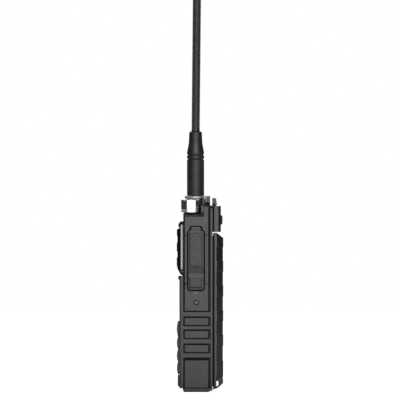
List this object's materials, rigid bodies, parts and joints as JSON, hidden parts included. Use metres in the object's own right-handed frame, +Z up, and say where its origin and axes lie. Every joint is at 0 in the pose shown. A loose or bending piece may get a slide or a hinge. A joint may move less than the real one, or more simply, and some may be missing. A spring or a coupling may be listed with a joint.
{
  "type": "handheld radio transceiver",
  "caption": "Handheld radio with ribbed sides, keypad front, covered side jacks, tilt-out battery pack with a foot latch, bright volume knob and a long flexible whip antenna.",
  "frame": {"origin": "middle of the whole object's box in X and Y, on the base plane it stands on", "axes": "+Z up along the antenna, -Y towards the keypad side, +X towards the accessory jack side"},
  "size_m": [0.06, 0.0344, 0.53],
  "materials": {
    "case_plastic": "fine-textured black moulding",
    "pack_plastic": "textured black moulding",
    "gloss_black": "glossy black moulding",
    "silver_trim": "satin silver paint",
    "bright_chrome": "bright plating",
    "black_rubber": "matte black rubber",
    "key_plastic": "satin dark grey keys",
    "clear_window": "tinted clear plate",
    "lamp_lens": "frosted lens",
    "die_cast": "grey die casting",
    "steel": "plain steel",
    "plated_brass": "gold-plated brass",
    "board": "green circuit board",
    "insert_plastic": "plain black moulding",
    "cell_wrap": "wrapped cells"
  },
  "bodies": {
    "root": {"antenna_collar": "bright_chrome", "antenna_connector": "plated_brass", "battery_contacts": "plated_brass", "case_gasket": "black_rubber", "chassis_screws": "steel", "clip_block": "pack_plastic", "display_window": "clear_window", "front_case": "case_plastic", "jack_block": "insert_plastic", "jack_cover_anchor": "black_rubber", "keypad_mat": "black_rubber", "lcd_module": "insert_plastic", "main_board": "board", "microphone": "steel", "ptt_bezel": "gloss_black", "rear_chassis": "die_cast", "shield_cans": "steel", "side_screws": "steel", "speaker_bezel": "silver_trim", "speaker_driver": "steel", "speaker_grille": "gloss_black", "status_led": "lamp_lens", "torch_housing": "pack_plastic", "torch_lens": "clear_window", "usb_port": "steel", "volume_pot": "insert_plastic"},
    "knob": {"volume_knob": "bright_chrome", "knob_cap": "steel", "knob_shaft": "steel"},
    "antenna": {"antenna_plug": "plated_brass", "antenna_boot": "black_rubber", "antenna_core": "steel", "antenna_whip": "black_rubber", "antenna_tip": "black_rubber"},
    "talk_button": {"ptt_button": "key_plastic"},
    "upper_side_key": {"side_key_upper": "key_plastic"},
    "lower_side_key": {"side_key_lower": "key_plastic"},
    "jack_flap": {"jack_cover_flap": "black_rubber"},
    "battery": {"battery_case": "pack_plastic", "battery_lid": "pack_plastic", "battery_cells": "cell_wrap", "battery_terminals": "plated_brass", "latch_pin": "steel", "latch_spring": "steel"},
    "latch": {"battery_latch": "pack_plastic"},
    "body_key_1": {"key_1": "key_plastic"},
    "body_key_2": {"key_2": "key_plastic"},
    "body_key_3": {"key_3": "key_plastic"},
    "body_key_4": {"key_4": "key_plastic"},
    "body_key_5": {"key_5": "key_plastic"},
    "body_key_6": {"key_6": "key_plastic"},
    "body_key_7": {"key_7": "key_plastic"},
    "body_key_8": {"key_8": "key_plastic"},
    "body_key_9": {"key_9": "key_plastic"},
    "body_key_10": {"key_10": "key_plastic"},
    "body_key_11": {"key_11": "key_plastic"},
    "body_key_12": {"key_12": "key_plastic"},
    "body_key_13": {"key_13": "key_plastic"},
    "body_key_14": {"key_14": "key_plastic"},
    "body_key_15": {"key_15": "key_plastic"}
  },
  "joints": [
    {"name": "volume_turn", "type": "hinge", "parent": "root", "child": "knob", "pos_m": [0.0195, -0.0067, 0.137], "axis": [0, 0, -1], "range_deg": [0, 290]},
    {"name": "antenna_turn", "type": "hinge", "parent": "root", "child": "antenna", "pos_m": [-0.017, -0.0033, 0.148], "axis": [0, 0, 1], "continuous": true},
    {"name": "talk_press", "type": "slide", "parent": "root", "child": "talk_button", "axis": [1, 0, 0], "range_m": [0, 0.0012], "stiffness_N_per_m": 1500},
    {"name": "upper_side_press", "type": "slide", "parent": "root", "child": "upper_side_key", "axis": [1, 0, 0], "range_m": [0, 0.0008], "stiffness_N_per_m": 1000},
    {"name": "lower_side_press", "type": "slide", "parent": "root", "child": "lower_side_key", "axis": [1, 0, 0], "range_m": [0, 0.0008], "stiffness_N_per_m": 1000},
    {"name": "jack_cover_bend", "type": "hinge", "parent": "root", "child": "jack_flap", "pos_m": [0.029, -0.00298, 0.0882], "axis": [0, 1, 0], "range_deg": [0, 110], "stiffness_Nm_per_rad": 0.003},
    {"name": "battery_tilt", "type": "hinge", "parent": "root", "child": "battery", "pos_m": [0, 0.0106, 0.1154], "axis": [1, 0, 0], "range_deg": [0, 25]},
    {"name": "latch_pull", "type": "hinge", "parent": "battery", "child": "latch", "pos_m": [0, 0.0151, 0.009], "axis": [1, 0, 0], "range_deg": [0, 35], "stiffness_Nm_per_rad": 0.02},
    {"name": "key_1_press", "type": "slide", "parent": "root", "child": "body_key_1", "axis": [0, 1, 0], "range_m": [0, 0.0007], "stiffness_N_per_m": 800},
    {"name": "key_2_press", "type": "slide", "parent": "root", "child": "body_key_2", "axis": [0, 1, 0], "range_m": [0, 0.0007], "stiffness_N_per_m": 800},
    {"name": "key_3_press", "type": "slide", "parent": "root", "child": "body_key_3", "axis": [0, 1, 0], "range_m": [0, 0.0007], "stiffness_N_per_m": 800},
    {"name": "key_4_press", "type": "slide", "parent": "root", "child": "body_key_4", "axis": [0, 1, 0], "range_m": [0, 0.0007], "stiffness_N_per_m": 800},
    {"name": "key_5_press", "type": "slide", "parent": "root", "child": "body_key_5", "axis": [0, 1, 0], "range_m": [0, 0.0007], "stiffness_N_per_m": 800},
    {"name": "key_6_press", "type": "slide", "parent": "root", "child": "body_key_6", "axis": [0, 1, 0], "range_m": [0, 0.0007], "stiffness_N_per_m": 800},
    {"name": "key_7_press", "type": "slide", "parent": "root", "child": "body_key_7", "axis": [0, 1, 0], "range_m": [0, 0.0007], "stiffness_N_per_m": 800},
    {"name": "key_8_press", "type": "slide", "parent": "root", "child": "body_key_8", "axis": [0, 1, 0], "range_m": [0, 0.0007], "stiffness_N_per_m": 800},
    {"name": "key_9_press", "type": "slide", "parent": "root", "child": "body_key_9", "axis": [0, 1, 0], "range_m": [0, 0.0007], "stiffness_N_per_m": 800},
    {"name": "key_10_press", "type": "slide", "parent": "root", "child": "body_key_10", "axis": [0, 1, 0], "range_m": [0, 0.0007], "stiffness_N_per_m": 800},
    {"name": "key_11_press", "type": "slide", "parent": "root", "child": "body_key_11", "axis": [0, 1, 0], "range_m": [0, 0.0007], "stiffness_N_per_m": 800},
    {"name": "key_12_press", "type": "slide", "parent": "root", "child": "body_key_12", "axis": [0, 1, 0], "range_m": [0, 0.0007], "stiffness_N_per_m": 800},
    {"name": "key_13_press", "type": "slide", "parent": "root", "child": "body_key_13", "axis": [0, 1, 0], "range_m": [0, 0.0007], "stiffness_N_per_m": 800},
    {"name": "key_14_press", "type": "slide", "parent": "root", "child": "body_key_14", "axis": [0, 1, 0], "range_m": [0, 0.0007], "stiffness_N_per_m": 800},
    {"name": "key_15_press", "type": "slide", "parent": "root", "child": "body_key_15", "axis": [0, 1, 0], "range_m": [0, 0.0007], "stiffness_N_per_m": 800}
  ]
}
